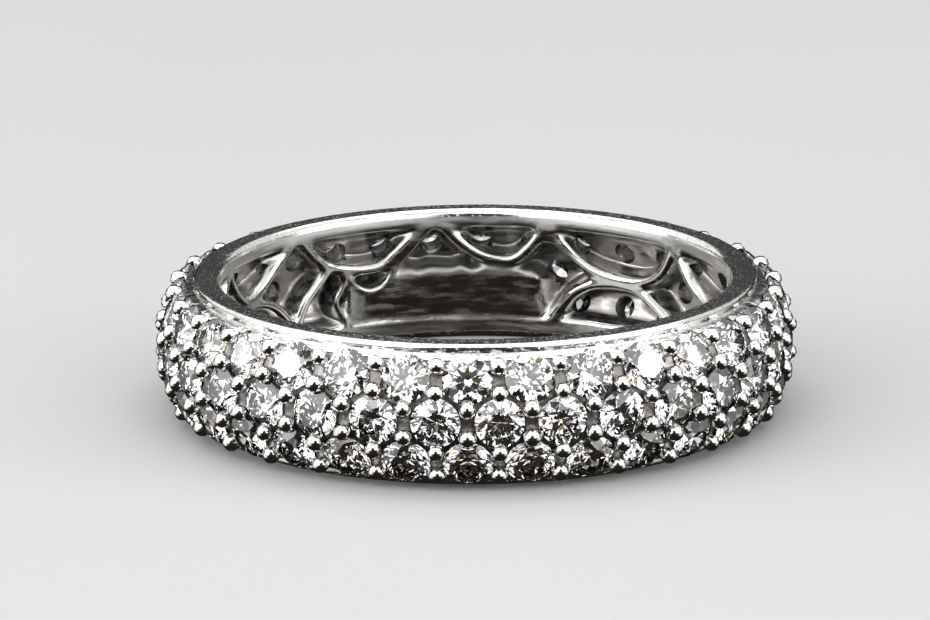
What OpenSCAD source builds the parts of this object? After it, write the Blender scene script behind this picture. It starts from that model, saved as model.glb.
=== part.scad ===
// Full eternity ring: three rows of small round brilliants held by beads on a domed band,
// with flat rims and an openwork gallery of wavy ribs inside. Millimetres.
// The ring lies on its side: the finger hole runs along +Z, and Z = 0 is the lower rim face.

/* [Finger hole and rims] */
// Inner diameter of the finger hole
inner_d = 17; // [14:0.5:22]
// Width of each flat rim face, from the hole outwards
rim_w = 0.93; // [0.7:0.01:1.1]
// Metal between the outer stones and each rim face
rim_margin = 0.21; // [0.16:0.01:0.5]
// Bevel on the inner edge of each rim
inner_bevel = 0.2; // [0.1:0.01:0.3]
// Bevel on the outer edge of each rim
outer_bevel = 0.04; // [0.02:0.01:0.08]
// Height of the small step between a rim face and its sloping lip
rim_step = 0.11; // [0.09:0.01:0.15]
// How far each lip reaches in over the seats of the outer stones
lip_reach = 0.13; // [0.05:0.01:0.3]

/* [Stones] */
// Diameter of each stone
stone_d = 1.6; // [1.3:0.05:2]
// Least gap between neighbouring stones
stone_gap = 0.13; // [0.12:0.01:0.3]
// How closely the rows nest: row spacing as a share of the stone spacing
row_nest = 0.812; // [0.8:0.001:0.84]
// Radius of the dome across the band, at the girdles
dome_r = 3.66; // [3:0.02:6]
// Turn of the middle row round the ring
first_turn = -7.2; // [-11:0.1:0]
// Reach of the star facets into the crown, as a share of its width
star_share = 0.48; // [0.4:0.01:0.6]
// Where the lower half facets end near the culet, as a share of the stone's radius
culet_share = 0.24; // [0.15:0.01:0.35]
// Turn of each stone's facets against those of the one before it
facet_turn = 17; // [0:1:45]
// Diameter of a stone's table, as a share of the stone
table_share = 0.57; // [0.5:0.01:0.65]
// Height of a stone's crown, as a share of the stone
crown_share = 0.15; // [0.12:0.01:0.17]
// Thickness of a stone's girdle, as a share of the stone
girdle_share = 0.03; // [0.02:0.01:0.05]
// Depth of a stone's pavilion, as a share of the stone
pavilion_share = 0.43; // [0.4:0.01:0.45]

/* [Setting] */
// Clearance between a stone and its seat
seat_gap = 0.03; // [0.02:0.01:0.06]
// Diameter of the hole drilled under each stone
hole_d = 0.9; // [0.6:0.05:1]
// How far each hole runs on past the gallery's floor
break_through = 0.06; // [0.03:0.01:0.1]
// Metal between the points of the outer stones and the gallery
culet_floor = 0.2; // [0.1:0.01:0.5]
// Depth of the metal between the stones below their girdles
metal_drop = 0.1; // [0.05:0.01:0.2]
// Diameter of each bead
bead_d = 0.52; // [0.4:0.01:0.6]
// Diameter of the post under each bead
post_d = 0.4; // [0.3:0.01:0.44]
// Height of the beads' centres above the girdles
bead_rise = 0.15; // [0.1:0.01:0.25]
// Distance of the beads from the centre line of their row
bead_off = 0.456; // [0.4:0.002:0.55]

/* [Gallery] */
// Depth of the gallery's pockets, from the finger hole outwards
pocket_depth = 0.75; // [0.5:0.01:1]
// Length of one wave of the ribs round the finger hole
wave_len = 4.85; // [3.6:0.05:7]
// Width of the ribs
rib_w = 0.34; // [0.25:0.01:0.5]
// Height of the plain inner band under the upper rim face
upper_band = 0.5; // [0.35:0.01:0.7]
// Height of the plain inner band over the lower rim face
lower_band = 0.82; // [0.5:0.01:1]
// Place of the first cusp of the ribs round the ring
first_cusp = 126; // [0:1:360]
// Height of the plain plate above the lower band, as a share of the gallery
plate_share = 0.53; // [0.4:0.01:0.6]

/* [Hidden] */
$fn = 48;
full_turn = 360;
front = -90;

// Stone heights, from the middle of the girdle
stone_r = stone_d / 2;
table_r = stone_r * table_share;
half_girdle = stone_d * girdle_share / 2;
crown_z = half_girdle + stone_d * crown_share;
culet_z = -half_girdle - stone_d * pavilion_share;

// Places of the rows on the dome
stone_pitch = stone_d + stone_gap;
row_step = stone_pitch * row_nest;
row_a = row_step / dome_r * 180 / PI;
dome_fall = (dome_r + culet_z) * (1 - cos(row_a));
inner_r = inner_d / 2;
floor_r = inner_r + pocket_depth;
girdle_r = floor_r + culet_floor - culet_z + dome_fall;
dome_x = girdle_r - dome_r;
least_pitch = 2 * sqrt(pow(stone_pitch, 2) - pow(row_step, 2));
row_count = floor(2 * PI * girdle_r / least_pitch);
step_a = full_turn / row_count;

// Rims
half_w = dome_r * sin(row_a) + stone_r * cos(row_a) + rim_margin;
rim_r = inner_r + rim_w;
lip_a = row_a + asin((stone_r - lip_reach) / dome_r);
lip_r = dome_x + dome_r * cos(lip_a);
lip_z = dome_r * sin(lip_a);

// Gallery
wave_count = round(2 * PI * inner_r / wave_len);
wave_a = full_turn / wave_count;
gallery_top = half_w - upper_band;
gallery_low = lower_band - half_w;
gallery_h = gallery_top - gallery_low;

// The ribs as arcs: first end and last end, in waves, and depth as a share of the gallery.
// The first rows are uneven, as a hand-carved gallery is, and the rest are regular.
hanging = concat(
    [[0, 1.13, 0.515], [1.13, 1.91, 0.45], [1.91, 3.02, 0.45], [3.02, 4, 0.465]],
    [for (i = [4:wave_count - 1]) [i, i + 1, 0.5]]
);
standing = concat(
    [[0, 1.06, 0.445], [2.25, 2.65, 0.42], [2.65, 3.08, 0.5], [3.08, 4, 0.48]],
    [for (i = [4:wave_count - 1]) [i, i + 1, 0.48]]
);
plate_from = 1.19;
plate_to = 2.62;

// Puts its children at the middle of the ring's width
module at_middle() {
    translate([0, 0, half_w])
        children();
}

// Puts its children on the dome, with local Z pointing out of it
module on_dome(turn, across, rise) {
    rotate([0, 0, front + turn])
        translate([dome_x, 0, 0])
            rotate([0, 90 - across, 0])
                translate([0, 0, dome_r + rise])
                    children();
}

// One round brilliant, its girdle's middle at the origin
module brilliant() {
    mains = 8;
    halves = 2 * mains;
    a = full_turn / mains;
    h = full_turn / halves;
    star_r = (table_r + star_share * (stone_r - table_r)) / cos(h);
    star_z = crown_z - star_share * (crown_z - half_girdle);
    lower_r = culet_share * stone_r / cos(h);
    lower_z = culet_z - culet_share * (culet_z + half_girdle);
    k = [0:mains - 1];
    m = [0:halves - 1];
    points = concat(
        [for (i = k) [table_r * cos(i * a), table_r * sin(i * a), crown_z]],
        [for (i = k) [star_r * cos(i * a + h), star_r * sin(i * a + h), star_z]],
        [for (i = m) [stone_r * cos(i * h), stone_r * sin(i * h), half_girdle]],
        [for (i = m) [stone_r * cos(i * h), stone_r * sin(i * h), -half_girdle]],
        [for (i = k) [lower_r * cos(i * a + h), lower_r * sin(i * a + h), lower_z]],
        [[0, 0, culet_z]]
    );
    // Where each ring of points starts in the list, after the table's own
    stars = mains;
    upper = stars + mains;
    under = upper + halves;
    lowers = under + halves;
    culet = lowers + mains;
    faces = concat(
        [[for (i = k) mains - 1 - i]],
        [for (i = k) [i, (i + 1) % mains, stars + i]],
        [for (i = k) [i, stars + i, upper + 2 * i, stars + (i + mains - 1) % mains]],
        [for (i = k) [stars + i, upper + 2 * i + 1, upper + 2 * i]],
        [for (i = k) [stars + i, upper + (2 * i + 2) % halves, upper + 2 * i + 1]],
        [for (i = m) [upper + i, upper + (i + 1) % halves, under + (i + 1) % halves, under + i]],
        [for (i = k) [lowers + i, under + 2 * i, under + 2 * i + 1]],
        [for (i = k) [lowers + i, under + 2 * i + 1, under + (2 * i + 2) % halves]],
        [for (i = k) [culet, lowers + (i + mains - 1) % mains, under + 2 * i, lowers + i]]
    );
    polyhedron(points = points, faces = faces);
}

// What is cut away for one stone: its own form with clearance, and the hole under it
module seat(across) {
    r = stone_r + seat_gap;
    slope = (stone_r - table_r) / (crown_z - half_girdle);
    hole_r = hole_d / 2;
    fall = (-culet_z - half_girdle) / stone_r;
    to_floor = (dome_x + dome_r * cos(across) - floor_r) / cos(across);
    deep_z = -to_floor - hole_r * abs(sin(across)) - break_through;
    rotate_extrude()
        polygon([
            [0, deep_z],
            [hole_r, deep_z],
            [hole_r, -half_girdle - (r - hole_r) * fall],
            [r, -half_girdle],
            [r, half_girdle + seat_gap],
            [r - slope * (crown_z - half_girdle), crown_z + seat_gap],
            [0, crown_z + seat_gap]
        ]);
}

// One bead on its post
module bead() {
    post_h = bead_rise + metal_drop + bead_d / 2;
    rotate_extrude()
        intersection() {
            union() {
                circle(d = bead_d);
                translate([0, -post_h])
                    square([post_d / 2, post_h]);
            }
            translate([0, -post_h])
                square([bead_d, post_h + bead_d]);
        }
}

// The rows are -1, 0 and 1 from the lower rim up. The outer ones lie half a step round from the middle one.
function stone_turn(row, i) = first_turn + (i + abs(row) / 2) * step_a;
function bead_turn(row, i) = first_turn + (i + (1 - abs(row)) / 2) * step_a;

module row_of_stones(row) {
    for (i = [0:row_count - 1])
        on_dome(stone_turn(row, i), row * row_a, 0)
            rotate([0, 0, i * facet_turn])
                brilliant();
}

module seats() {
    for (row = [-1, 0, 1])
        for (i = [0:row_count - 1])
            on_dome(stone_turn(row, i), row * row_a, 0)
                seat(row * row_a);
}

module beads() {
    off_a = bead_off / dome_r * 180 / PI;
    for (row = [-1, 0, 1])
        for (side = [-1, 1])
            for (i = [0:row_count - 1])
                on_dome(bead_turn(row, i), row * row_a + side * off_a, bead_rise)
                    bead();
}

// Angle of a place in the gallery that is given in waves from the first cusp
function wave_place(place) = front + first_cusp + place * wave_a;

// A stretch of the gallery's full height, between two places given in waves
module stretch(from, to) {
    rotate_extrude(angle = (to - from) * wave_a, start = wave_place(from))
        translate([inner_r - pocket_depth, gallery_low])
            square([2 * pocket_depth, gallery_h]);
}

// The disc inside one rib's arc, or out to its far side where grow is positive.
// A rib with side 1 hangs from the upper band, and one with side -1 stands on the lower band.
module arc_disc(row, side, grow) {
    half_a = (row[1] - row[0]) * wave_a / 2;
    half_chord = inner_r * sin(half_a);
    sag = row[2] * gallery_h;
    r = (pow(half_chord, 2) + pow(sag, 2)) / (2 * sag);
    edge_z = side > 0 ? gallery_top : gallery_low;
    from_x = inner_r * cos(half_a) - pocket_depth;
    rotate([0, 0, wave_place((row[0] + row[1]) / 2)])
        translate([from_x, 0, edge_z + side * (r - sag)])
            rotate([0, 90, 0])
                cylinder(r = r + grow, h = floor_r + pocket_depth - from_x);
}

// The pocket enclosed by one rib and its band
module enclosed_pocket(row, side) {
    intersection() {
        stretch(row[0], row[1]);
        arc_disc(row, side, -rib_w / 2);
    }
}

// The pocket at one cusp, between the ribs beside, above and below it
module cusp_pocket(i) {
    last = hanging[(i + wave_count - 1) % wave_count];
    next = hanging[i];
    back = i == 0 ? wave_count : 0;
    from = (last[0] + last[1]) / 2 - back;
    to = (next[0] + next[1]) / 2;
    difference() {
        difference() {
            stretch(from, to);
            for (row = standing)
                if (row[1] > from && row[0] < to || row[1] - back > from && row[0] - back < to)
                    arc_disc(row, -1, rib_w / 2);
            if (plate_to > from && plate_from < to)
                plate();
        }
        arc_disc(last, 1, rib_w / 2);
        arc_disc(next, 1, rib_w / 2);
    }
}

// The plain plate in the lower half of the gallery
module plate() {
    rotate_extrude(angle = (plate_to - plate_from) * wave_a, start = wave_place(plate_from))
        translate([inner_r - 2 * pocket_depth, gallery_low - rib_w])
            square([4 * pocket_depth, plate_share * gallery_h + rib_w]);
}

// What is cut out of the inner wall between the ribs
module pockets() {
    for (row = hanging)
        enclosed_pocket(row, 1);
    for (row = standing)
        enclosed_pocket(row, -1);
    for (i = [0:wave_count - 1])
        cusp_pocket(i);
}

// Section of one rim, the upper one, down to the middle of the width
module rim_section() {
    tuck = 2 * metal_drop;
    polygon([
        [inner_r, 0],
        [inner_r, half_w - inner_bevel],
        [inner_r + inner_bevel, half_w],
        [rim_r - outer_bevel, half_w],
        [rim_r, half_w - outer_bevel],
        [rim_r, half_w - rim_step],
        [lip_r, lip_z],
        [lip_r - tuck, lip_z - tuck],
        [floor_r, 0]
    ]);
}

module band_section() {
    intersection() {
        translate([dome_x, 0])
            circle(r = dome_r - metal_drop);
        translate([inner_r, -lip_z])
            square([girdle_r, 2 * lip_z]);
    }
    rim_section();
    mirror([0, 1])
        rim_section();
}

module band() {
    color("silver")
        at_middle()
            difference() {
                union() {
                    difference() {
                        rotate_extrude()
                            band_section();
                        pockets();
                    }
                    beads();
                }
                seats();
            }
}

module edge_row_stones() {
    color("azure")
        at_middle() {
            row_of_stones(1);
            row_of_stones(-1);
        }
}

module middle_row_stones() {
    color("azure")
        at_middle()
            row_of_stones(0);
}

band();
edge_row_stones();
middle_row_stones();
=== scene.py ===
"""Eternity ring: a domed band of polished white metal, set all round with three rows of small brilliants."""
import math
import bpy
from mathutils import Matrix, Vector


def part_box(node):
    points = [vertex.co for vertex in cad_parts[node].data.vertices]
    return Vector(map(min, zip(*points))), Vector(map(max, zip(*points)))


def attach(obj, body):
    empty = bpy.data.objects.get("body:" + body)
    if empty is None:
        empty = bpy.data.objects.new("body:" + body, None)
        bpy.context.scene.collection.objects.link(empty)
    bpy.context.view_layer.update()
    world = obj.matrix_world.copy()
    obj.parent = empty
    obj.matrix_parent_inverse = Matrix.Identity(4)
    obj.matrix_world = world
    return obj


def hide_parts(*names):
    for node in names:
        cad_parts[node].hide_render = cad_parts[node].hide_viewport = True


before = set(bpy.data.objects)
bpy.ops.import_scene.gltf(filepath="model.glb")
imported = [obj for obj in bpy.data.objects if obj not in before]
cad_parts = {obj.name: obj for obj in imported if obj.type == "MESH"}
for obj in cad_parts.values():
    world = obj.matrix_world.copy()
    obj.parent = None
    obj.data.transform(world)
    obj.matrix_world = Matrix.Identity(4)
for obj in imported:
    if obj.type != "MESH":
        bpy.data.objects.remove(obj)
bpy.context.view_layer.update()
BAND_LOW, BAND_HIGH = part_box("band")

from types import SimpleNamespace

import bmesh
import bpy
import numpy as np
from mathutils import Euler, Matrix, Vector

bl_info = {
    "name": "Eternity ring",
    "version": (1, 0, 0),
    "blender": (4, 5, 0),
    "location": "3D View > Sidebar > Ring",
    "description": "Dresses the frame of a pave set eternity ring and lights it in a small studio",
    "category": "Object",
}

# Shapes are worked out in millimetres, with Z from the middle of the ring's width, and put in place last
MM = 0.001
MIDDLE = (BAND_HIGH.z - BAND_LOW.z) / 2 / MM
ROWS = (-1, 0, 1)
# A brilliant's sizes as shares of its radius, and how far its star and lower facets reach
TABLE, GIRDLE, CROWN, PAVILION = 0.57, 0.03, 0.3, 0.86
STAR_REACH, LOWER_REACH = 0.48, 0.24
# Metal under a stone's point, metal behind the pockets, and the overlap of the band's two pieces
UNDER_POINT, BACK, OVERLAP = 0.2, 0.15, 0.04


class BandSizes(bpy.types.PropertyGroup):
    """Sizes of the metal"""

    finger_d: bpy.props.FloatProperty(
        name="Finger hole", description="Inner diameter of the ring", default=0.017, unit="LENGTH")
    rim_wall: bpy.props.FloatProperty(
        name="Rim", description="Width of the flat rim face", default=0.00093, unit="LENGTH")
    inner_edge: bpy.props.FloatProperty(
        name="Inner edge", description="Radius of the arc that bevels the rim's inner edge", default=0.00038,
        unit="LENGTH")
    flare: bpy.props.FloatProperty(
        name="Flare", description="How far the inner wall opens towards the rims", default=0.00005,
        unit="LENGTH")
    outer_edge: bpy.props.FloatProperty(
        name="Outer edge", description="Radius of the rim's rounded outer edge", default=0.00016,
        unit="LENGTH")
    lip_reach: bpy.props.FloatProperty(
        name="Lip", description="How far the sloping lip reaches over the outer stones", default=0.00013,
        unit="LENGTH")
    metal_drop: bpy.props.FloatProperty(
        name="Metal drop", description="Depth of the metal below the stones' girdles", default=0.0001,
        unit="LENGTH")
    pocket_depth: bpy.props.FloatProperty(
        name="Pockets", description="Depth of the pockets between the ribs", default=0.00075, unit="LENGTH")
    upper_band: bpy.props.FloatProperty(
        name="Upper band", description="Plain height above the ribs", default=0.00062, unit="LENGTH")
    lower_band: bpy.props.FloatProperty(
        name="Lower band", description="Plain height below the ribs", default=0.00082, unit="LENGTH")
    rib_w: bpy.props.FloatProperty(
        name="Ribs", description="Width of a rib's crest", default=0.0003, unit="LENGTH")
    hole_d: bpy.props.FloatProperty(
        name="Light holes", description="Diameter of the hole under each stone", default=0.0008,
        unit="LENGTH")
    around: bpy.props.IntProperty(
        name="Steps round", description="How many steps the rims and the dome are divided into", default=384)


class StoneSizes(bpy.types.PropertyGroup):
    """Sizes and places of the stones"""

    stone_d: bpy.props.FloatProperty(
        name="Diameter", description="Diameter of a stone", default=0.0016, unit="LENGTH")
    gap: bpy.props.FloatProperty(
        name="Gap", description="Least gap between two stones", default=0.00013, unit="LENGTH")
    row_nest: bpy.props.FloatProperty(
        name="Nesting", description="Height between two rows, as a share of the stones' pitch", default=0.812,
        subtype="FACTOR")
    dome_r: bpy.props.FloatProperty(
        name="Dome", description="Radius of the domed section through the girdles", default=0.00366,
        unit="LENGTH")
    first_turn: bpy.props.FloatProperty(
        name="First stone", description="Place of the first stone of the middle row", unit="ROTATION",
        default=math.radians(-7.2))
    facet_turn: bpy.props.FloatProperty(
        name="Facet turn", description="Turn of a stone's facets against the one before it", unit="ROTATION",
        default=math.radians(17))
    lean: bpy.props.FloatProperty(
        name="Lean", description="Most that a stone leans in its seat", default=math.radians(2.2),
        unit="ROTATION")
    seat_gap: bpy.props.FloatProperty(
        name="Seat gap", description="Clearance round a stone in its seat", default=0.00003, unit="LENGTH")
    seed: bpy.props.IntProperty(
        name="Seed", description="Seed of the stones' small differences", default=11)


class BeadSizes(bpy.types.PropertyGroup):
    """Sizes of the beads that hold the stones"""

    bead_d: bpy.props.FloatProperty(
        name="Bead", description="Diameter of a bead", default=0.00061, unit="LENGTH")
    post_d: bpy.props.FloatProperty(
        name="Post", description="Diameter of the post under a bead", default=0.0004, unit="LENGTH")
    rise: bpy.props.FloatProperty(
        name="Rise", description="Height of a bead's middle above the girdles", default=0.00013,
        unit="LENGTH")
    off: bpy.props.FloatProperty(
        name="Offset", description="Distance of a bead from the middle of its pair", default=0.000456,
        unit="LENGTH")
    rim_side: bpy.props.FloatProperty(
        name="Beside the rims", description="Offset of the beads next to the rims, as a share of the others'",
        default=0.84, subtype="FACTOR")
    bar_w: bpy.props.FloatProperty(
        name="Bar", description="Width of the bar that joins a pair of beads", default=0.00037,
        unit="LENGTH")
    unevenness: bpy.props.FloatProperty(
        name="Unevenness", description="How much hand-made beads differ in size", default=0.08,
        subtype="FACTOR")
    seed: bpy.props.IntProperty(
        name="Seed", description="Seed of the beads' small differences", default=5)


class RingFinishes(bpy.types.PropertyGroup):
    """Colours of the ring and of the studio"""

    metal: bpy.props.FloatVectorProperty(
        name="Metal", description="Colour of the polished metal", default=(0.83, 0.82, 0.80), size=3,
        subtype="COLOR", min=0, max=1)
    # Painted shade: the colour the gallery's pockets darken to, and much darker still down the holes under
    # the stones
    painted_shade_metal: bpy.props.FloatVectorProperty(
        name="Pocket metal", description="Colour of the metal deep in the pockets",
        default=(0.28, 0.27, 0.257), size=3, subtype="COLOR", min=0, max=1)
    # Painted shade: the darker colour of the grooves and bars between the stones and beads
    painted_groove_shade: bpy.props.FloatVectorProperty(
        name="Groove metal", description="Colour of the metal in the grooves between the stones",
        default=(0.25, 0.235, 0.22), size=3, subtype="COLOR", min=0, max=1)
    stone: bpy.props.FloatVectorProperty(
        name="Stones", description="Colour of the stones", default=(1.0, 1.0, 1.0), size=3,
        subtype="COLOR", min=0, max=1)
    floor: bpy.props.FloatVectorProperty(
        name="Floor", description="Colour of the studio floor", default=(0.49, 0.49, 0.493), size=3,
        subtype="COLOR", min=0, max=1)


def sizes():
    """All sizes in millimetres and angles in radians, with the places that follow from them."""
    scene = bpy.context.scene
    band, stone, bead = scene.ring_band, scene.ring_stones, scene.ring_beads
    s = SimpleNamespace(
        inner_r=band.finger_d / MM / 2, inner_edge=band.inner_edge / MM, flare=band.flare / MM,
        outer_edge=band.outer_edge / MM, drop=band.metal_drop / MM, rib=band.rib_w / MM / 2,
        hole_r=band.hole_d / MM / 2, around=band.around, stone_r=stone.stone_d / MM / 2,
        dome_r=stone.dome_r / MM, first=stone.first_turn, facet_turn=stone.facet_turn, lean=stone.lean,
        seat_gap=stone.seat_gap / MM, bead_r=bead.bead_d / MM / 2, post_r=bead.post_d / MM / 2,
        rise=bead.rise / MM, bar_w=bead.bar_w / MM, half_w=MIDDLE,
    )
    s.rim_r = s.inner_r + band.rim_wall / MM
    s.floor_r = s.inner_r + band.pocket_depth / MM
    s.edge_z = inner_bevel(s)[0][1]
    s.gallery_top = s.half_w - band.upper_band / MM
    s.gallery_low = band.lower_band / MM - s.half_w
    # A stone's heights are counted from the middle of its girdle
    s.table_r = s.stone_r * TABLE
    s.half_girdle = s.stone_r * GIRDLE
    s.crown_z = s.half_girdle + s.stone_r * CROWN
    s.culet_z = -s.half_girdle - s.stone_r * PAVILION
    pitch = 2 * s.stone_r + stone.gap / MM
    row_step = pitch * stone.row_nest
    s.row_a = row_step / s.dome_r
    girdle_r = s.floor_r + UNDER_POINT - s.culet_z + (s.dome_r + s.culet_z) * (1 - math.cos(s.row_a))
    s.dome_x = girdle_r - s.dome_r
    s.count = int(2 * math.pi * girdle_r / (2 * math.sqrt(pitch ** 2 - row_step ** 2)))
    s.step_a = 2 * math.pi / s.count
    s.bead_a = bead.off / MM / s.dome_r
    lip_a = s.row_a + math.asin((s.stone_r - band.lip_reach / MM) / s.dome_r)
    s.lip_r = s.dome_x + s.dome_r * math.cos(lip_a)
    s.lip_z = s.dome_r * math.sin(lip_a)
    return s


# Meshes

def new_object(name, mesh):
    obj = bpy.data.objects.new(name, mesh)
    bpy.context.scene.collection.objects.link(obj)
    return obj


def drop_object(obj):
    mesh = obj.data
    bpy.data.objects.remove(obj)
    bpy.data.meshes.remove(mesh)


def mesh_from(name, points, faces, smooth=True):
    """A mesh whose faces are lists of points by number, all smooth or all flat."""
    mesh = bpy.data.meshes.new(name)
    mesh.from_pydata([tuple(p) for p in points], [], faces)
    mesh.update()
    mesh.polygons.foreach_set("use_smooth", [smooth] * len(mesh.polygons))
    return mesh


def ring_mesh(name, radius, turn, height):
    """A closed ring from grids of points. A row runs round its axis, and a column round its section."""
    radius, turn, height = np.broadcast_arrays(radius, turn, height)
    rows, around = radius.shape
    points = np.stack([radius * np.sin(turn), -radius * np.cos(turn), height], -1).reshape(-1, 3)
    row, place = np.meshgrid(np.arange(rows) * around, np.arange(around), indexing="ij")
    next_row, next_place = np.roll(row, -1, 0), np.roll(place, -1, 1)
    quads = np.stack([row + place, row + next_place, next_row + next_place, next_row + place], -1)
    return mesh_from(name, points, quads.reshape(-1, 4).tolist())


def spun(name, section, around):
    """A surface of revolution from (radius, height) points, facing outwards where they run upwards."""
    points, faces, rings = [], [], []
    for r, z in section:
        if r < 1e-9:
            rings.append([len(points)] * around)
            points.append((0, 0, z))
        else:
            rings.append(list(range(len(points), len(points) + around)))
            points += [(r * math.cos(a), r * math.sin(a), z)
                       for a in (2 * math.pi * i / around for i in range(around))]
    for low, high in zip(rings, rings[1:]):
        for i in range(around):
            n = (i + 1) % around
            corners = [low[i], low[n], high[n], high[i]]
            faces.append([c for k, c in enumerate(corners) if c != corners[k - 1]])
    return mesh_from(name, points, faces)


def arc(centre, radius, first, last, pieces):
    """Points of an arc in the section, its angles in degrees from the outward direction."""
    turns = [math.radians(first + (last - first) * k / pieces) for k in range(pieces + 1)]
    return [(centre[0] + radius * math.cos(a), centre[1] + radius * math.sin(a)) for a in turns]


def settle(obj):
    """Turns what the object's modifiers make into its own plain mesh."""
    graph = bpy.context.evaluated_depsgraph_get()
    whole = obj.evaluated_get(graph)
    made = bpy.data.meshes.new_from_object(whole, preserve_all_data_layers=True, depsgraph=graph)
    old = obj.data
    obj.modifiers.clear()
    obj.data = made
    bpy.data.meshes.remove(old)
    made.name = obj.name
    return obj


def cut_away(obj, tool):
    """Cuts the tool's form out of an object. The tool goes away."""
    modifier = obj.modifiers.new("Cut", "BOOLEAN")
    modifier.operation = "DIFFERENCE"
    modifier.solver = "MANIFOLD"
    modifier.object = tool
    settle(obj)
    drop_object(tool)


def even_shading(obj, sharp):
    """Keeps edges over the given angle sharp, and lets large faces lead the smooth shading."""
    obj.data.set_sharp_from_angle(angle=math.radians(sharp))
    modifier = obj.modifiers.new("Shading", "WEIGHTED_NORMAL")
    modifier.keep_sharp = True
    modifier.weight = 60
    settle(obj)


def join(name, objects):
    """One object from several, which go away."""
    whole = bmesh.new()
    for obj in objects:
        whole.from_mesh(obj.data)
    mesh = bpy.data.meshes.new(name)
    whole.to_mesh(mesh)
    whole.free()
    for material in objects[0].data.materials:
        mesh.materials.append(material)
    for obj in objects:
        drop_object(obj)
    return new_object(name, mesh)


def put_on(obj, slot, *nodes):
    """Brings a piece from millimetres to its place on the ring and hands it to the frame."""
    obj.data.transform(Matrix.Diagonal((MM, MM, MM, 1)) @ Matrix.Translation((0, 0, MIDDLE)))
    obj.data.update()
    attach(obj, "root")
    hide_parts(*nodes)


# Node trees

class Wiring:
    """Adds nodes to a tree and joins them."""

    def __init__(self, tree):
        self.tree = tree

    def add(self, kind, inputs=None, **settings):
        """A new node, its settings by name and its inputs by name or number."""
        node = self.tree.nodes.new(kind)
        for name, value in settings.items():
            setattr(node, name, value)
        for name, value in (inputs or {}).items():
            self.feed(node.inputs[name], value)
        return node

    def feed(self, socket, value):
        """Links or sets an input. A colour that is set is given as red, green and blue."""
        if isinstance(value, bpy.types.NodeSocket):
            self.tree.links.new(value, socket)
        else:
            socket.default_value = (*value, 1) if socket.type == "RGBA" else value

    def math(self, operation, a, b=0.0):
        return self.add("ShaderNodeMath", {0: a, 1: b}, operation=operation).outputs[0]

    def away(self, value, middle):
        """How far a value lies from a middle, on either side."""
        return self.math("ABSOLUTE", self.math("SUBTRACT", value, middle))

    def axes(self, vector):
        return self.add("ShaderNodeSeparateXYZ", {0: vector}).outputs

    def vector(self, x, y, z):
        return self.add("ShaderNodeCombineXYZ", {0: x, 1: y, 2: z}).outputs[0]

    def mixed(self, share, first, second):
        """A colour between two others. The colour sockets of a mix node are its seventh and eighth."""
        return self.add("ShaderNodeMix", {0: share, 6: first, 7: second}, data_type="RGBA").outputs[2]

    def ramp(self, value, stops, interpolation="LINEAR"):
        """A colour from stops, each with its place from 0 to 1 and its colour."""
        node = self.add("ShaderNodeValToRGB", {"Fac": value})
        elements = node.color_ramp.elements
        node.color_ramp.interpolation = interpolation
        while len(elements) < len(stops):
            elements.new(0.5)
        for element, (place, colour) in zip(elements, stops):
            element.position = place
            element.color = (*colour, 1)
        return node.outputs["Color"]

    def tidy(self):
        """Lays the nodes out in columns."""
        for k, node in enumerate(self.tree.nodes):
            node.location = (k // 6 * 220, -(k % 6) * 180)


ROW_INPUTS = {
    "Copy": "Object", "Count": "Int", "First turn": "Float", "Across": "Float", "Rise": "Float",
    "Dome radius": "Float", "Dome centre": "Float", "Spin": "Float", "Lean": "Float", "Unevenness": "Float",
    "Seed": "Int", "Material": "Material",
}


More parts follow.
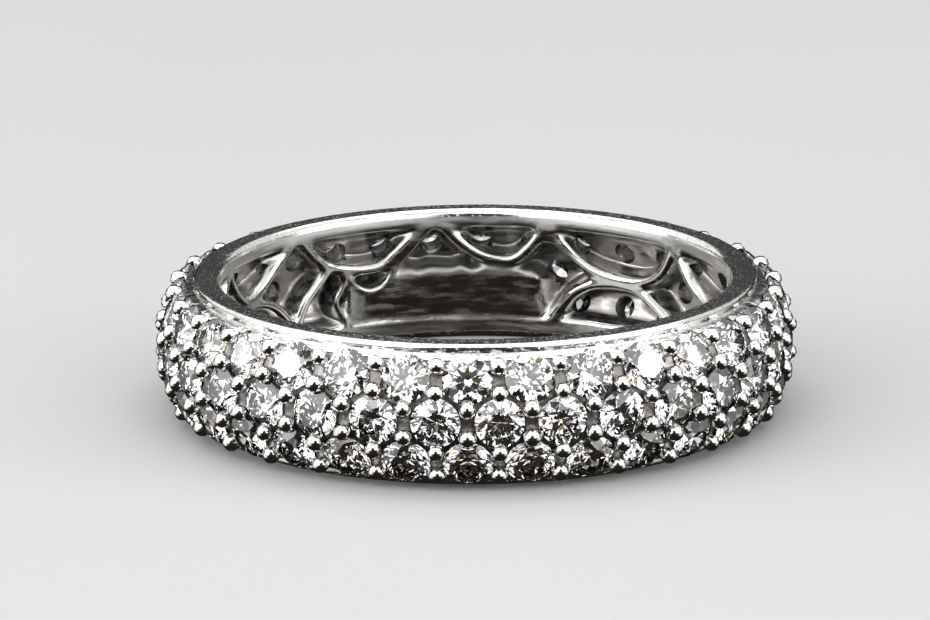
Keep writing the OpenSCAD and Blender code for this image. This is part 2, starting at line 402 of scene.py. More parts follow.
def row_tree():
    """Geometry nodes that repeat one thing in a row round the dome, each copy standing on it."""
    tree = bpy.data.node_groups.get("Row round the dome")
    if tree:
        return tree
    tree = bpy.data.node_groups.new("Row round the dome", "GeometryNodeTree")
    tree.interface.new_socket("Geometry", in_out="INPUT", socket_type="NodeSocketGeometry")
    for name, kind in ROW_INPUTS.items():
        tree.interface.new_socket(name, in_out="INPUT", socket_type="NodeSocket" + kind)
    tree.interface.new_socket("Geometry", in_out="OUTPUT", socket_type="NodeSocketGeometry")
    w = Wiring(tree)
    given = w.add("NodeGroupInput").outputs
    index = w.add("GeometryNodeInputIndex").outputs[0]
    step = w.math("DIVIDE", 2 * math.pi, given["Count"])
    turn = w.math("ADD", given["First turn"], w.math("MULTIPLY", index, step))
    out = w.math("ADD", given["Dome radius"], given["Rise"])
    radius = w.math("ADD", given["Dome centre"], w.math("MULTIPLY", out, w.math("COSINE", given["Across"])))
    place = w.vector(
        w.math("MULTIPLY", radius, w.math("SINE", turn)),
        w.math("MULTIPLY", w.math("MULTIPLY", radius, -1.0), w.math("COSINE", turn)),
        w.math("MULTIPLY", out, w.math("SINE", given["Across"])))
    upright = w.math("SUBTRACT", math.pi / 2, given["Across"])
    stand = w.vector(0.0, upright, w.math("SUBTRACT", turn, math.pi / 2))
    least = w.math("MULTIPLY", given["Lean"], -1.0)
    leans = []
    for k in range(2):
        chance = {2: least, 3: given["Lean"], "Seed": w.math("ADD", given["Seed"], float(k))}
        leans.append(w.add("FunctionNodeRandomValue", chance, data_type="FLOAT").outputs[1])
    own = w.vector(*leans, w.math("MULTIPLY", index, given["Spin"]))
    turned = w.add("FunctionNodeRotateRotation", {
        0: w.add("FunctionNodeEulerToRotation", {0: stand}).outputs[0],
        1: w.add("FunctionNodeEulerToRotation", {0: own}).outputs[0],
    }, rotation_space="LOCAL")
    low, high = (w.math(way, 1.0, given["Unevenness"]) for way in ("SUBTRACT", "ADD"))
    chance = {0: w.vector(low, low, low), 1: w.vector(high, high, high),
              "Seed": w.math("ADD", given["Seed"], 7.0)}
    size = w.add("FunctionNodeRandomValue", chance, data_type="FLOAT_VECTOR")
    points = w.add("GeometryNodePoints", {"Count": given["Count"], "Position": place})
    thing = w.add("GeometryNodeObjectInfo", {"Object": given["Copy"], "As Instance": True})
    copies = w.add("GeometryNodeInstanceOnPoints", {
        "Points": points.outputs[0], "Instance": thing.outputs["Geometry"], "Rotation": turned.outputs[0],
        "Scale": size.outputs[0],
    })
    real = w.add("GeometryNodeRealizeInstances", {"Geometry": copies.outputs[0]})
    dressed = w.add("GeometryNodeSetMaterial", {"Geometry": real.outputs[0], "Material": given["Material"]})
    w.add("NodeGroupOutput", {"Geometry": dressed.outputs[0]})
    w.tidy()
    return tree


def row_of(name, copy, material, s, first, across, rise=0.0, spin=0.0, lean=0.0, unevenness=0.0, seed=0):
    """A row of copies round the dome as a plain mesh object."""
    if not copy.data.materials:
        copy.data.materials.append(material)
    obj = new_object(name, bpy.data.meshes.new(name))
    modifier = obj.modifiers.new("Row", "NODES")
    tree = row_tree()
    values = {
        "Copy": copy, "Count": s.count, "First turn": first, "Across": across, "Rise": rise,
        "Dome radius": s.dome_r, "Dome centre": s.dome_x, "Spin": spin, "Lean": lean,
        "Unevenness": unevenness, "Seed": seed, "Material": material,
    }
    modifier.node_group = tree
    for item in tree.interface.items_tree:
        if item.in_out == "INPUT" and item.name in values:
            modifier[item.identifier] = values[item.name]
    return settle(obj)


def stone_turn(s, row):
    """The outer rows lie half a step round from the middle one."""
    return s.first + abs(row) / 2 * s.step_a


def bead_turn(s, row):
    return s.first + (1 - abs(row)) / 2 * s.step_a


# Materials

# Rough mean radius of the metal, which turns angles into millimetres round the ring
METAL_RADIUS = 9.0


def new_material(name):
    material = bpy.data.materials.new(name)
    material.use_nodes = True
    material.node_tree.nodes.clear()
    return material, Wiring(material.node_tree)


def ring_places(w):
    """Object coordinates in millimetres, and the same unrolled: way round, distance from the axis, height."""
    place = w.add("ShaderNodeTexCoord").outputs["Object"]
    mm = w.add("ShaderNodeVectorMath", {0: place, "Scale": 1 / MM}, operation="SCALE").outputs[0]
    axes = w.axes(mm)
    squares = [w.math("MULTIPLY", axes[a], axes[a]) for a in "XY"]
    radius = w.math("POWER", w.math("ADD", *squares), 0.5)
    way_round = w.math("MULTIPLY", w.math("ARCTAN2", axes["X"], axes["Y"]), METAL_RADIUS)
    return mm, w.vector(way_round, radius, axes["Z"]), radius


def noise(w, vector, scale, detail=3.0, stretch=(1, 1, 1)):
    placed = w.add("ShaderNodeMapping", {"Vector": vector, "Scale": Vector(stretch)}).outputs[0]
    return w.add("ShaderNodeTexNoise", {"Vector": placed, "Scale": scale, "Detail": detail}).outputs["Fac"]


def ranged(w, value, low, high, to_low=0.0, to_high=1.0):
    return w.add("ShaderNodeMapRange", {
        "Value": value, "From Min": low, "From Max": high, "To Min": to_low, "To Max": to_high}).outputs[0]


def height_mask(w, mm, low, high):
    """Rises from 0 to 1 between two heights over or under the middle of the ring's width."""
    return ranged(w, w.away(w.axes(mm)["Z"], MIDDLE), low, high)


def finish_material(w, **inputs):
    """Ends a material in one shader, whose inputs are named with underscores for spaces."""
    inputs = {name.replace("_", " "): value for name, value in inputs.items()}
    shader = w.add("ShaderNodeBsdfPrincipled", inputs)
    w.add("ShaderNodeOutputMaterial", {"Surface": shader.outputs[0]})
    w.tidy()


def finish_metal(w, colour, rough, relief, strength, depth):
    """Ends a metal whose surface stands up by so many millimetres where the relief is high."""
    bump = w.add("ShaderNodeBump", {"Height": relief, "Strength": strength, "Distance": depth * MM})
    finish_material(w, Base_Color=colour, Metallic=1.0, Roughness=rough, Normal=bump.outputs[0])


def rim_metal(finishes):
    """Polished flat and worn: fine scratches that mostly run round the rim."""
    material, w = new_material("Worn polish of the rims")
    mm, unrolled, _ = ring_places(w)
    lines = noise(w, unrolled, 1.0, 4.0, (1.1, 22.0, 22.0))
    nicks = noise(w, unrolled, 1.0, 2.0, (6.0, 17.0, 17.0))
    clouds = noise(w, mm, 0.8, 3.0)
    rough = w.math("ADD", ranged(w, clouds, 0.35, 0.65, 0.06, 0.15), ranged(w, lines, 0.5, 0.7, 0.0, 0.16))
    relief = w.math("ADD", w.math("MULTIPLY", lines, 0.5), ranged(w, nicks, 0.6, 0.7))
    finish_metal(w, finishes.metal, rough, relief, 0.8, 0.012)
    return material


def setting_metal(finishes, s):
    """Metal between the stones: bright along the lips and dull in the grooves, where painted shade darkens
    it, and darkens the holes' walls much more.
    """
    material, w = new_material("Metal of the setting")
    mm, _, radius = ring_places(w)
    lip = height_mask(w, mm, s.lip_z - 0.16, s.lip_z - 0.06)
    tooling = w.math("ADD", noise(w, mm, 5.0, 3.0), w.math("MULTIPLY", noise(w, mm, 1.3, 2.0), 3.4))
    # Painted shade: the holes' walls are much darker than the grooves
    out = ranged(w, radius, s.floor_r + 0.1, s.floor_r + 0.65)
    shaded_grooves = w.mixed(out, [0.35 * c for c in finishes.painted_shade_metal], finishes.painted_groove_shade)
    colour = w.mixed(lip, shaded_grooves, finishes.metal)
    rough = ranged(w, noise(w, mm, 1.6, 2.0), 0.3, 0.7, 0.32, 0.46)
    rough = w.math("SUBTRACT", rough, w.math("MULTIPLY", lip, 0.24))
    finish_metal(w, colour, rough, tooling, 0.8, 0.05)
    return material


def bead_metal(finishes):
    """Burnished, with small flats and dents."""
    material, w = new_material("Burnished beads")
    mm, _, _ = ring_places(w)
    rough = ranged(w, noise(w, mm, 2.5, 2.0), 0.3, 0.7, 0.03, 0.09)
    finish_metal(w, finishes.metal, rough, noise(w, mm, 3.0, 1.0), 0.4, 0.03)
    return material


def gallery_metal(finishes, s):
    """Cast metal, polished on the ribs and duller deep in the pockets. Painted shade makes it darker and
    warmer the deeper the pockets go, and its colour is darker than the rims' even on the ribs.
    """
    material, w = new_material("Cast metal of the gallery")
    mm, unrolled, radius = ring_places(w)
    beyond = height_mask(w, mm, s.gallery_top - 0.1, s.gallery_top + 0.1)
    depth = ranged(w, radius, s.inner_r + 0.08, s.inner_r + 0.5)
    # The plate's upper edge is rougher, and painted shade darkens it
    places = w.axes(unrolled)
    along = ranged(w, w.away(places["X"], -0.16), 2.6, 3.0, 1.0, 0.0)
    up = ranged(w, w.away(places["Z"], MIDDLE + 0.17), 0.17, 0.27, 1.0, 0.0)
    dull_and_shaded_edge = w.math("MULTIPLY", along, up)
    # Painted shade: the colour darkens deeper in the pockets and on the plate's upper edge
    shade = w.math("ADD", ranged(w, depth, 0.0, 1.0, 0.4, 1.0), w.math("MULTIPLY", dull_and_shaded_edge, 0.4))
    colour = w.mixed(shade, finishes.metal, finishes.painted_shade_metal)
    wear = noise(w, unrolled, 1.0, 4.0, (0.9, 5.0, 5.0))
    rough = w.math("ADD", ranged(w, depth, 0.3, 1.0, 0.12, 0.25), ranged(w, wear, 0.42, 0.72, 0.0, 0.32))
    rough = w.math("ADD", rough, w.math("MULTIPLY", w.math("MAXIMUM", beyond, dull_and_shaded_edge), 0.22))
    finish_metal(w, colour, rough, noise(w, mm, 1.5, 2.0), 0.5, 0.05)
    return material


def stone_material(finishes):
    """Clear and very refractive, with small patches of amber and blue painted in for the fire of dispersed
    light.
    """
    material, w = new_material("Clear brilliant")
    mm, _, _ = ring_places(w)
    # Painted fire: a few cells of the clear stone are tinted amber, a few blue
    cells = w.add("ShaderNodeTexVoronoi", {"Vector": mm, "Scale": 6.5, "Randomness": 1.0})
    chance = w.add("ShaderNodeSeparateColor", {0: cells.outputs["Color"]}).outputs[0]
    clear, fire_amber, fire_blue = finishes.stone, (1.0, 0.66, 0.3), (0.74, 0.86, 1.0)
    stops = ((0.0, clear), (0.87, fire_amber), (0.895, clear), (0.93, fire_blue), (0.965, clear))
    painted_fire = w.ramp(chance, stops, "CONSTANT")
    finish_material(w, Base_Color=painted_fire, Roughness=0.0, IOR=2.42, Transmission_Weight=1.0)
    return material


def stage_material(finishes):
    """Matt and plain, a little uneven in its sheen."""
    material, w = new_material("Pale studio floor")
    mm, _, _ = ring_places(w)
    rough = ranged(w, noise(w, mm, 0.02, 2.0), 0.3, 0.7, 0.55, 0.7)
    finish_material(w, Base_Color=finishes.floor, Roughness=rough, Specular_IOR_Level=0.2)
    return material


# Metal of the outside

def seat_section(s, gap):
    """What is cut away for one stone: its own form with a clearance, and the hole under it."""
    r, through, top = s.stone_r + gap, -1.5, s.crown_z + gap
    fall = (-s.culet_z - s.half_girdle) / s.stone_r
    return [
        (0, through), (s.hole_r, through), (s.hole_r, -s.half_girdle - (r - s.hole_r) * fall),
        (r, -s.half_girdle), (r, s.half_girdle + gap), (r - s.stone_r + s.table_r, top), (0, top),
    ]


def seat_tools(s, metal, gap, around):
    """One cutter for each stone, whose walls come out in the given metal."""
    one = new_object("Seat", spun("Seat", seat_section(s, gap), around))
    rows = [row_of("Seats", one, metal, s, stone_turn(s, row), row * s.row_a) for row in ROWS]
    drop_object(one)
    return join("Seats", rows)


def inner_bevel(s):
    """Profile of the rim's inner edge, from the wall up to the flat: a slightly rounded bevel."""
    first, last, fillet = 152, 118, 0.03
    reach = s.inner_edge - fillet
    r = s.inner_r + s.flare - s.inner_edge * math.cos(math.radians(first))
    z = s.half_w - fillet - reach * math.sin(math.radians(last))
    corner = (r + reach * math.cos(math.radians(last)), s.half_w - fillet)
    return arc((r, z), s.inner_edge, first, last, 8) + arc(corner, fillet, last, 90, 3)[1:]


def rim_section(s):
    """The upper rim from its hidden inner corner out to the dome's edge."""
    round_r, low, foot = s.outer_edge, s.edge_z - 0.08, s.lip_z + 0.07
    points = [(s.floor_r + BACK - OVERLAP, low), (s.inner_r + s.flare - 0.02, low)] + inner_bevel(s)
    points += [(points[-1][0] + 0.015, s.half_w), (s.rim_r - round_r - 0.015, s.half_w)]
    points += arc((s.rim_r - round_r, s.half_w - round_r), round_r, 90, 5, 9)
    # The rim's outer foot, the sloping lip and its rounded edge over the stones
    points += [(s.rim_r + 0.012, foot + 0.012), (s.rim_r + 0.03, foot)]
    points += [(s.lip_r - 0.2, foot - 0.02), (s.lip_r - 0.11, foot - 0.045), (s.lip_r - 0.045, foot - 0.08)]
    points += [(s.lip_r, foot - 0.13), (s.lip_r - 0.03, s.lip_z - 0.085), (s.lip_r - 0.09, s.lip_z - 0.11)]
    return points


class RING_OT_carve_setting(bpy.types.Operator):
    """Turn the rims, lips and dome, sink the seats and their holes into them, and add the bars"""

    bl_idname = "ring.carve_setting"
    bl_label = "Carve the setting"

    def execute(self, context):
        s, finishes = sizes(), context.scene.ring_finishes
        upper = rim_section(s)
        metal_r = s.dome_r - s.drop
        edge_a = math.degrees(math.asin((s.lip_z - 0.12) / metal_r))
        dome = arc((s.dome_x, 0), metal_r, edge_a, -edge_a, 16)
        section = np.array((upper + dome + [(r, -z) for r, z in reversed(upper)])[::-1])
        turn = np.arange(s.around) / s.around * 2 * np.pi
        obj = new_object("band_setting", ring_mesh("band_setting", section[:, :1], turn, section[:, 1:]))
        metal = setting_metal(finishes, s)
        for material in (metal, rim_metal(finishes)):
            obj.data.materials.append(material)
        cut_away(obj, seat_tools(s, metal, s.seat_gap, 40))
        bar = new_object("Bar", self.bar(s))
        rows = [row_of("Bars", bar, metal, s, bead_turn(s, row), row * s.row_a) for row in ROWS]
        drop_object(bar)
        obj = join("band_setting", [obj] + rows)
        even_shading(obj, 38)
        # The rims have a finish of their own, which ends at the foot of their outer edge
        for face in obj.data.polygons:
            far = math.hypot(face.center.x, face.center.y)
            face.material_index = 1 if far < s.rim_r + 0.045 and abs(face.center.z) > s.edge_z - 0.1 else 0
        put_on(obj, "white_metal", "band")
        return {"FINISHED"}

    @staticmethod
    def bar(s):
        """The low flat bar between the two beads of a pair."""
        long, w, top, foot = s.bead_a * s.dome_r, s.bar_w / 2, -0.03, -s.drop - 0.2
        points = [(x, y, z) for x in (-long, long) for y, z in ((-w, foot), (-w, top), (w, top), (w, foot))]
        faces = [[i, (i + 1) % 4, 4 + (i + 1) % 4, 4 + i] for i in range(4)]
        return mesh_from("Bar", points, faces + [[3, 2, 1, 0], [4, 5, 6, 7]])


# Inner gallery

# Ribs as (degrees round from the front, height from the middle), drawn along their crests
UPPER_RIBS = (
    ((163.5, 2.0), (161.0, 1.45), (158.5, 1.05), (156.0, 0.72), (153.0, 0.42), (150.0, 0.24), (146.0, 0.13),
     (142.0, 0.10), (138.0, 0.18), (134.6, 0.36), (131.4, 0.70), (129.4, 1.12), (128.3, 1.52), (127.0, 2.0)),
    ((188.3, 2.0), (186.0, 1.55), (183.5, 1.15), (181.0, 0.85), (178.0, 0.60), (175.0, 0.48), (172.5, 0.45),
     (170.0, 0.57), (167.5, 0.88), (165.5, 1.22), (163.8, 1.60), (162.5, 2.0)),
    ((225.2, 2.0), (222.5, 1.50), (220.0, 1.10), (217.5, 0.78), (215.0, 0.60), (212.0, 0.48), (208.0, 0.38),
     (204.0, 0.38), (201.5, 0.50), (199.0, 0.78), (196.5, 1.08), (194.0, 1.40), (191.5, 1.75), (189.8, 2.0)),
    ((225.8, 2.0), (228.0, 1.66), (231.0, 1.32), (234.0, 0.98), (237.0, 0.66), (240.0, 0.42), (243.0, 0.32),
     (246.5, 0.36), (250.0, 0.72), (253.5, 1.25), (256.0, 2.0)),
)
LOWER_RIBS = (
    ((161.5, -1.7), (160.2, -1.3), (158.4, -0.95), (156.5, -0.62), (154.0, -0.36), (151.0, -0.18),
     (147.0, -0.08), (143.0, -0.06), (139.5, -0.12), (136.5, -0.30), (134.0, -0.52), (131.5, -0.76),
     (129.0, -1.05), (127.3, -1.35), (126.3, -1.7)),
    ((216.3, 0.60), (218.4, 0.24), (220.7, -0.08), (222.7, -0.40), (224.2, -0.75), (225.4, -1.15),
     (226.2, -1.7)),
)
THIN_RIBS = (
    ((190.0, 2.0), (192.3, 1.48), (194.8, 1.00), (197.0, 0.66), (198.7, 0.38), (199.9, 0.08), (201.2, -0.20),
     (203.2, -0.37), (205.6, -0.41), (208.0, -0.26), (210.0, 0.0), (211.6, 0.30)),
    ((212.4, 0.40), (212.2, 0.0), (213.0, -0.30), (214.3, -0.65), (213.4, -1.0), (212.0, -1.3),
     (211.2, -1.7)),
)
# Wide webs where two hanging ribs meet, each with its half width
WEBS = (
    (((162.6, 2.0), (162.3, 1.46)), 0.27),
    (((126.6, 2.0), (126.3, 1.68)), 0.25),
)
# Top edge of the plain plate between its two ends
PLATE_EDGE = ((162.0, -0.12), (166.5, 0.22), (172.0, 0.33), (182.0, 0.34), (197.5, 0.34), (199.5, 0.19),
              (201.5, -0.17), (204.0, -0.30), (207.0, -0.27), (209.3, 0.02), (211.6, 0.30))
# The rest of the gallery is regular: the place in degrees from which its waves are counted, how many go
# round, and the first one that isn't drawn above. One more rib stands on the lower band before it
FIRST_CUSP, WAVES, FIRST_REGULAR, FIRST_STANDING = 126.0, 11, 4, 3.08


def straight_path(points, inner_r):
    """Points on the wall, unrolled to millimetres."""
    return np.array([(math.radians(a) * inner_r, z) for a, z in points])


def smooth_path(points, inner_r, pieces=7):
    """A smooth curve through points on the unrolled wall."""
    p = straight_path(points, inner_r)
    p = np.vstack([2 * p[0] - p[1], p, 2 * p[-1] - p[-2]])
    t = np.linspace(0, 1, pieces, endpoint=False)[:, None]
    runs = []
    for a, b, c, d in zip(p, p[1:], p[2:], p[3:]):
        runs.append(0.5 * (2 * b + (c - a) * t + (2 * a - 5 * b + 4 * c - d) * t ** 2
                           + (3 * b - a - 3 * c + d) * t ** 3))
    return np.vstack(runs + [p[-2:-1]])


def regular_rib(first, last, share, side, s):
    """An arc between two places in waves, as deep as its share of the gallery's height.

    Side 1 hangs from the upper band and -1 stands on the lower.
    """
    wave = 2 * math.pi / WAVES
    half = (last - first) / 2 * wave * s.inner_r
    sag = share * (s.gallery_top - s.gallery_low)
    r = (half ** 2 + sag ** 2) / (2 * sag)
    edge = s.gallery_top if side > 0 else s.gallery_low
    ends = math.asin(min(half / r, 1)) + 0.1
    turns = np.linspace(-ends, ends, 40)
    middle = (math.radians(FIRST_CUSP) + (first + last) / 2 * wave) * s.inner_r
    return np.stack([middle + r * np.sin(turns), edge + side * (r - sag) - side * r * np.cos(turns)], 1)


def inside_path(x, z, path, width, whole):
    """How deep each grid point lies inside a rib of that half width, or how far outside it if negative."""
    far = 9.0
    best = np.full(x.shape, -far)
    for shift in (-whole, 0.0, whole):
        places = path + (shift, 0)
        near = (x > places[:, 0].min() - 1) & (x < places[:, 0].max() + 1)
        if not near.any():
            continue
        near_x, near_z = x[near], z[near]
        least = np.full(near_x.shape, far)
        for (from_x, from_z), (to_x, to_z) in zip(places, places[1:]):
            dx, dz, ahead, up = to_x - from_x, to_z - from_z, near_x - from_x, near_z - from_z
            t = np.clip((ahead * dx + up * dz) / max(dx * dx + dz * dz, 1e-12), 0, 1)
            least = np.minimum(least, np.hypot(ahead - t * dx, up - t * dz))
        best[near] = np.maximum(best[near], width - least)
    return best


def blended(shapes, soft):
    """The union of shapes given by their depth inside, with small fillets where they meet."""
    total = shapes[0]
    for shape in shapes[1:]:
        h = np.clip(0.5 + 0.5 * (total - shape) / soft, 0, 1)
        total = shape + (total - shape) * h + soft * h * (1 - h)
    return total


def eased(value):
    value = np.clip(value, 0, 1)
    return value * value * (3 - 2 * value)


def waviness(x, z, whole, seed, lengths, size):
    """Low seamless unevenness, as a cast surface has after polishing by hand."""
    chance = np.random.default_rng(seed)
    total = np.zeros_like(x)
    for length in lengths:
        for _ in range(5):
            way, start = chance.uniform(-np.pi / 2, np.pi / 2), chance.uniform(0, 2 * np.pi)
            turns = round(whole / length * np.cos(way))
            total += np.sin(2 * np.pi * (x / whole * turns + z / length * np.sin(way)) + start)
    return total * size / (2 * len(lengths))


def raised_shapes(x, z, whole, s):
    """Depth inside each thing that stands up between the pockets: plain bands, ribs and webs."""
    wide, thin = s.rib * 1.3, s.rib * 0.76
    regular, hanging, standing = range(FIRST_REGULAR, WAVES), 0.5, 0.48
    paths = [(smooth_path(points, s.inner_r), wide) for points in UPPER_RIBS + LOWER_RIBS]
    paths += [(smooth_path(points, s.inner_r), thin) for points in THIN_RIBS]
    paths += [(straight_path(ends, s.inner_r), half) for ends, half in WEBS]
    paths += [(regular_rib(i, i + 1, hanging, 1, s), wide) for i in regular]
    paths.append((regular_rib(FIRST_STANDING, FIRST_REGULAR, standing, -1, s), wide))
    paths += [(regular_rib(i, i + 1, standing, -1, s), wide) for i in regular]
    bands = [z - s.gallery_top, s.gallery_low - z]
    return bands + [inside_path(x, z, path, width, whole) for path, width in paths]


def plate_share(turn, x, z, whole, s):
    """How far the plain plate stands up, from 0 to 1: rounded along its top and fading out at one end."""
    ends = np.radians([PLATE_EDGE[0][0], PLATE_EDGE[-1][0]])
    top = np.interp(turn, np.radians([a for a, _ in PLATE_EDGE]), [h for _, h in PLATE_EDGE])
    top += waviness(x, np.zeros_like(z), whole, 8, (1.7, 0.6), 0.06)
    share = 1 - (1 - np.clip((top - z + 0.1) / 0.34, 0, 1)) ** 2.2
    start = (turn - ends[0]) * s.inner_r + 0.1 * np.sin(3.4 * z + 0.6)
    return share * (eased((start + 0.35) / 0.9) * eased(((ends[1] - turn) * s.inner_r + 0.1) / 0.14))


def wall_radius(turn, z, s):
    """Radius of the inner wall: ribs, bands and plate stand at the finger, and pockets lie between them."""
    whole = 2 * math.pi * s.inner_r
    x = turn * s.inner_r
    # The pockets' floors follow the dome, a little flatter, so they are deepest at the middle of the width
    inside_r, deeper, follow = s.dome_r + s.culet_z - UNDER_POINT, 0.06, 0.85
    fall = inside_r - np.sqrt(inside_r ** 2 - np.minimum(abs(z), s.gallery_top) ** 2)
    floor = s.floor_r + deeper - follow * fall
    depth = floor - s.inner_r
    # What stands up begins 0.2 mm outside its outline, and its edges are rounded off by 0.08 mm
    fillet, outside, slope, rounding = 0.24, 0.2, 0.23, 0.08
    raised = blended(raised_shapes(x, z, whole, s), fillet)
    crest = eased((raised + outside) / slope)
    round_off = rounding * (1 - np.clip(raised / (2 * rounding), 0, 1)) ** 2
    plate, plate_back = plate_share(turn, x, z, whole, s), 0.045
    worn = waviness(x, z, whole, 21, (2.6, 1.3), 0.012)
    height = np.maximum(crest * (depth - round_off), plate * (depth - plate_back + worn))
    low = 1 - np.maximum(crest, plate)
    height += low * (waviness(x, z, whole, 3, (1.9, 1.1, 0.7), 0.035) + 0.02)
    # Rounds the creases to what the grid can show. Its first and last rows are alike, so they may meet
    for axis in (0, 1, 0, 1):
        height = (np.roll(height, 1, axis) + 2 * height + np.roll(height, -1, axis)) / 4
    opening = np.clip((abs(z) - s.gallery_top) / (s.edge_z - s.gallery_top), 0, 1)
    return floor - np.clip(height, -0.03, depth) + s.flare * opening ** 2


class RING_OT_carve_gallery(bpy.types.Operator):
    """Raise the ribs and the plain plate on the inner wall, and open the holes in its pockets"""

    bl_idname = "ring.carve_gallery"
    bl_label = "Carve the gallery"

    def execute(self, context):
        s, around, steps = sizes(), 1080, 72
        seam = math.radians(90)
        turn = seam + np.arange(around) / around * 2 * np.pi
        height, turns = np.meshgrid(np.linspace(s.edge_z, -s.edge_z, steps), turn, indexing="ij")
        radius = wall_radius(turns, height, s)
        # Two more rows close the section behind the wall
        radius = np.vstack([radius, np.full((2, around), s.floor_r + BACK)])
        height = np.vstack([height, height[-1:], height[:1]])
        turns = np.vstack([turns, turns[:2]])
        obj = new_object("band_gallery", ring_mesh("band_gallery", radius, turns, height))
        metal = gallery_metal(context.scene.ring_finishes, s)
        obj.data.materials.append(metal)
        holes, length = [], 0.85
        for row in ROWS:
            low = self.depth(s, row)
            top = low + length
            one = new_object("Hole", spun("Hole", [(0, low), (s.hole_r, low), (s.hole_r, top), (0, top)], 32))
            holes.append(row_of("Holes", one, metal, s, stone_turn(s, row), row * s.row_a))
            drop_object(one)
        cut_away(obj, join("Holes", holes))
        obj.data.set_sharp_from_angle(angle=math.radians(50))
        put_on(obj, "white_metal", "band")
        return {"FINISHED"}

    @staticmethod
    def depth(s, row):
        """Where a hole starts on the stone's axis, just under the pocket's floor."""
        across = row * s.row_a
        to_floor = (s.dome_x + s.dome_r * math.cos(across) - s.floor_r) / math.cos(across)
        return -to_floor - (s.hole_r + 0.4) * abs(math.sin(across)) - 0.12


class RING_OT_raise_beads(bpy.types.Operator):
    """Raise the beads in pairs between the stones"""

    bl_idname = "ring.raise_beads"
    bl_label = "Raise the beads"

    def execute(self, context):
        s, beads = sizes(), context.scene.ring_beads
        metal = bead_metal(context.scene.ring_finishes)
        ball = arc((0, 0), s.bead_r, -math.degrees(math.acos(s.post_r / s.bead_r)), 90, 4)
        foot = -s.rise - s.drop - 0.25
        section = [(0, foot), (s.post_r + 0.03, foot)] + ball[:-1] + [(0, s.bead_r)]
        one = new_object("Bead", spun("Bead", section, 12))
        rows = []
        for row in ROWS:
            for side in (-1, 1):
                off = side * s.bead_a * (beads.rim_side if side == row else 1)
                rows.append(row_of(
                    "Beads", one, metal, s, bead_turn(s, row), row * s.row_a + off, s.rise, spin=0.7,
                    lean=0.12, unevenness=beads.unevenness, seed=beads.seed + 3 * row + side))
        drop_object(one)
        made = join("Beads", rows)
        gap = 0.004
        cut_away(made, seat_tools(s, metal, gap, 32))
        made.name = made.data.name = "beads"
        made.data.set_sharp_from_angle(angle=math.radians(40))
        put_on(made, "white_metal", "band")
        return {"FINISHED"}


# Stones

def brilliant(s):
    """One round brilliant of 57 facets whose round girdle is scalloped where the facets meet it."""
    mains, full = 8, 2 * math.pi
    turn = full / mains

    def ring(radius, height, count, shift=0.0):
        turns = [full * (i + shift) / count for i in range(count)]
        return [(radius * math.cos(a), radius * math.sin(a), height) for a in turns]

    star_r = (s.table_r + STAR_REACH * (s.stone_r - s.table_r)) / math.cos(turn / 2)
    star_z = s.crown_z - STAR_REACH * (s.crown_z - s.half_girdle)
    low_r = LOWER_REACH * s.stone_r / math.cos(turn / 2)
    low_z = s.culet_z - LOWER_REACH * (s.culet_z + s.half_girdle)

    def girdle(height, facet_r, facet_z):
        # Between the corners of the facets the round edge dips to stay in their planes
        slope = (facet_z - height) / (s.stone_r - facet_r) / math.cos(turn / 4)
        dip = slope * s.stone_r * (1 - math.cos(turn / 4))
        wave = ring(s.stone_r, height, 4 * mains)
        return [(x, y, z if i % 2 == 0 else z - dip) for i, (x, y, z) in enumerate(wave)]

    points = ring(s.table_r, s.crown_z, mains) + ring(star_r, star_z, mains, 0.5)
    points += girdle(s.half_girdle, star_r, star_z) + girdle(-s.half_girdle, low_r, low_z)
    points += ring(low_r, low_z, mains, 0.5) + [(0, 0, s.culet_z)]
    star, upper, under, low = mains, 2 * mains, 6 * mains, 10 * mains
    culet, n = 11 * mains, 4 * mains
    faces = [list(range(mains))]
    for i in range(mains):
        after, before, g = (i + 1) % mains, (i - 1) % mains, 4 * i
        h = [g, g + 1, g + 2, g + 3, (g + 4) % n]
        faces += [
            [i, star + i, after],
            [i, star + before, upper + g, star + i],
            [star + i, upper + h[0], upper + h[1], upper + h[2]],
            [star + i, upper + h[2], upper + h[3], upper + h[4]],
            [low + i, under + h[2], under + h[1], under + h[0]],
            [low + i, under + h[4], under + h[3], under + h[2]],
            [culet, low + i, under + g, low + before],
        ]
    faces += [[under + i, under + (i + 1) % n, upper + (i + 1) % n, upper + i] for i in range(n)]
    return mesh_from("Brilliant", points, faces, smooth=False)


class RING_OT_set_stones(bpy.types.Operator):
    """Set three rows of brilliants into their seats"""

    bl_idname = "ring.set_stones"
    bl_label = "Set the stones"

    def execute(self, context):
        s, stones = sizes(), context.scene.ring_stones
        clear = stone_material(context.scene.ring_finishes)
        one = new_object("Brilliant", brilliant(s))
        rows = {row: row_of("Stones", one, clear, s, stone_turn(s, row), row * s.row_a, spin=s.facet_turn,
                            lean=s.lean, seed=stones.seed + row) for row in ROWS}
        drop_object(one)
        put_on(join("edge_brilliants", [rows[1], rows[-1]]), "stone", "edge_row_stones")
        put_on(join("middle_brilliants", [rows[0]]), "stone", "middle_row_stones")
        return {"FINISHED"}


# Studio

# Soft boxes round the ring: name, degrees round from the front and up, distance, width and height in metres,
# and brightness
SOFT_BOXES = (
    ("Box left", -56, 28, 0.33, (0.44, 0.34), 1.9),
    ("Box right", 56, 28, 0.33, (0.44, 0.34), 1.55),
    ("Box far left", -125, 34, 0.34, (0.34, 0.26), 1.0),
    ("Box far right", 125, 34, 0.34, (0.34, 0.26), 0.7),
    ("Box front", 0, 50, 0.34, (0.26, 0.16), 1.3),
    ("Box above", 0, 100, 0.36, (0.44, 0.42), 1.2),
    ("Key above", 0, 100, 0.3, (0.3, 0.06), 3.5),
    ("Key left", -80, 19, 0.29, (0.19, 0.09), 3.9),
    ("Key right", 76, 20, 0.29, (0.11, 0.08), 5.0),
)
RING_MIDDLE = Vector((0, 0, MIDDLE * MM))


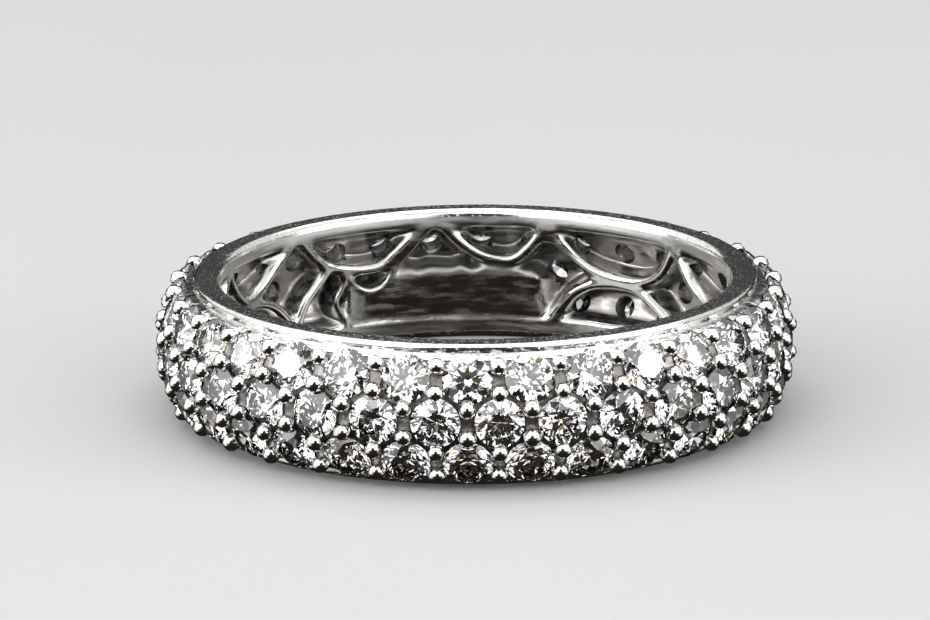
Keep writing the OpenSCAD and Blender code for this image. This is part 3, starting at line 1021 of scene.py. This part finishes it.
class RING_OT_build_stage(bpy.types.Operator):
    """Lay a pale floor, hang the soft boxes and place the camera"""

    bl_idname = "ring.build_stage"
    bl_label = "Build the stage"

    def execute(self, context):
        scene = context.scene
        self.floor(scene)
        self.world(scene)
        for name, turn, up, far, (wide, high), brightness in SOFT_BOXES:
            lamp = bpy.data.lights.new(name, "AREA")
            lamp.shape, lamp.size, lamp.size_y = "RECTANGLE", wide, high
            lamp.energy = brightness * math.pi * wide * high
            obj = bpy.data.objects.new(name, lamp)
            turn, up = math.radians(turn), math.radians(up)
            obj.location = RING_MIDDLE + far * Vector(
                (math.sin(turn) * math.cos(up), -math.cos(turn) * math.cos(up), math.sin(up)))
            obj.rotation_euler = (RING_MIDDLE - obj.location).to_track_quat("-Z", "Y").to_euler()
            scene.collection.objects.link(obj)
        self.camera(scene)
        scene.view_settings.view_transform = "Standard"
        scene.view_settings.look = "None"
        return {"FINISHED"}

    @staticmethod
    def floor(scene):
        """A wide floor whose edge sweeps up into a pale wall. Mirrors and stones don't see it."""
        flat, sweep, top = 0.9, 0.5, 1.0
        section = [(flat + sweep, top)] + arc((flat, sweep), sweep, 0, -90, 12)
        section += [(0.3, 0.0), (0.05, 0.0), (0.0, 0.0)]
        floor = new_object("studio_floor", spun("studio_floor", section, 96))
        floor.data.materials.append(stage_material(scene.ring_finishes))
        floor.visible_glossy = False
        floor.visible_transmission = False

    @staticmethod
    def world(scene):
        """Dark, warm surroundings that brighten overhead, with a low lobe of light on either side."""
        world = bpy.data.worlds.new("Studio")
        world.use_nodes = True
        world.node_tree.nodes.clear()
        w = Wiring(world.node_tree)
        way = w.axes(w.add("ShaderNodeTexCoord").outputs["Generated"])
        stops = ((0.0, (0.0155, 0.012, 0.0085)), (0.47, (0.025, 0.02, 0.015)), (0.56, (0.039, 0.036, 0.033)),
                 (0.7, (0.08, 0.08, 0.08)), (1.0, (0.3, 0.3, 0.3)))
        dark = w.ramp(ranged(w, way["Z"], -1.0, 1.0), stops)
        aside = ranged(w, w.away(way["X"], 0.05), 0.7, 0.94)
        low = ranged(w, w.away(way["Z"], -0.2), 0.2, 0.4, 1.0, 0.0)
        lobe = w.math("MULTIPLY", aside, low)
        lit = w.add("ShaderNodeVectorMath", {0: dark, 1: w.vector(lobe, lobe, lobe)})
        sky = w.add("ShaderNodeBackground", {"Color": lit.outputs[0], "Strength": 1.0})
        w.add("ShaderNodeOutputWorld", {"Surface": sky.outputs[0]})
        w.tidy()
        scene.world = world

    @staticmethod
    def camera(scene):
        """The photograph's own view: low, from the front, through a long lens."""
        data = bpy.data.cameras.new("Camera")
        data.sensor_width, data.lens = 36.0, 193.33
        data.clip_start, data.clip_end = 0.005, 10.0
        camera = bpy.data.objects.new("Camera", data)
        rise, far, roll = math.radians(14.97), 0.16759, math.radians(-0.4)
        aim = Vector((-0.000339, 0.0, MIDDLE * MM + 0.000952))
        camera.location = aim + far * Vector((0, -math.cos(rise), math.sin(rise)))
        camera.rotation_mode = "XYZ"
        look = Euler((math.pi / 2 - rise, 0, 0)).to_matrix() @ Matrix.Rotation(roll, 3, "Z")
        camera.rotation_euler = look.to_euler()
        scene.collection.objects.link(camera)
        scene.camera = camera


class RING_PT_panel(bpy.types.Panel):
    """Sizes, colours and steps of the ring"""

    bl_idname = "RING_PT_panel"
    bl_label = "Eternity ring"
    bl_space_type = "VIEW_3D"
    bl_region_type = "UI"
    bl_category = "Ring"

    def draw(self, context):
        for title, (place, group) in GROUPS.items():
            box = self.layout.box()
            box.label(text=title)
            values = getattr(context.scene, place)
            for name in group.__annotations__:
                box.prop(values, name)
        for step in STEPS:
            self.layout.operator(step.bl_idname)


GROUPS = {
    "Band": ("ring_band", BandSizes),
    "Stones": ("ring_stones", StoneSizes),
    "Beads": ("ring_beads", BeadSizes),
    "Finishes": ("ring_finishes", RingFinishes),
}
STEPS = (RING_OT_carve_setting, RING_OT_carve_gallery, RING_OT_raise_beads, RING_OT_set_stones,
         RING_OT_build_stage)


def register():
    for name, group in GROUPS.values():
        bpy.utils.register_class(group)
        setattr(bpy.types.Scene, name, bpy.props.PointerProperty(type=group))
    for step in STEPS:
        bpy.utils.register_class(step)
    bpy.utils.register_class(RING_PT_panel)


def unregister():
    bpy.utils.unregister_class(RING_PT_panel)
    for step in reversed(STEPS):
        bpy.utils.unregister_class(step)
    for name, group in reversed(GROUPS.values()):
        delattr(bpy.types.Scene, name)
        bpy.utils.unregister_class(group)


def main():
    register()
    bpy.ops.ring.carve_setting()
    bpy.ops.ring.carve_gallery()
    bpy.ops.ring.raise_beads()
    bpy.ops.ring.set_stones()
    bpy.ops.ring.build_stage()


if __name__ == "__main__":
    main()
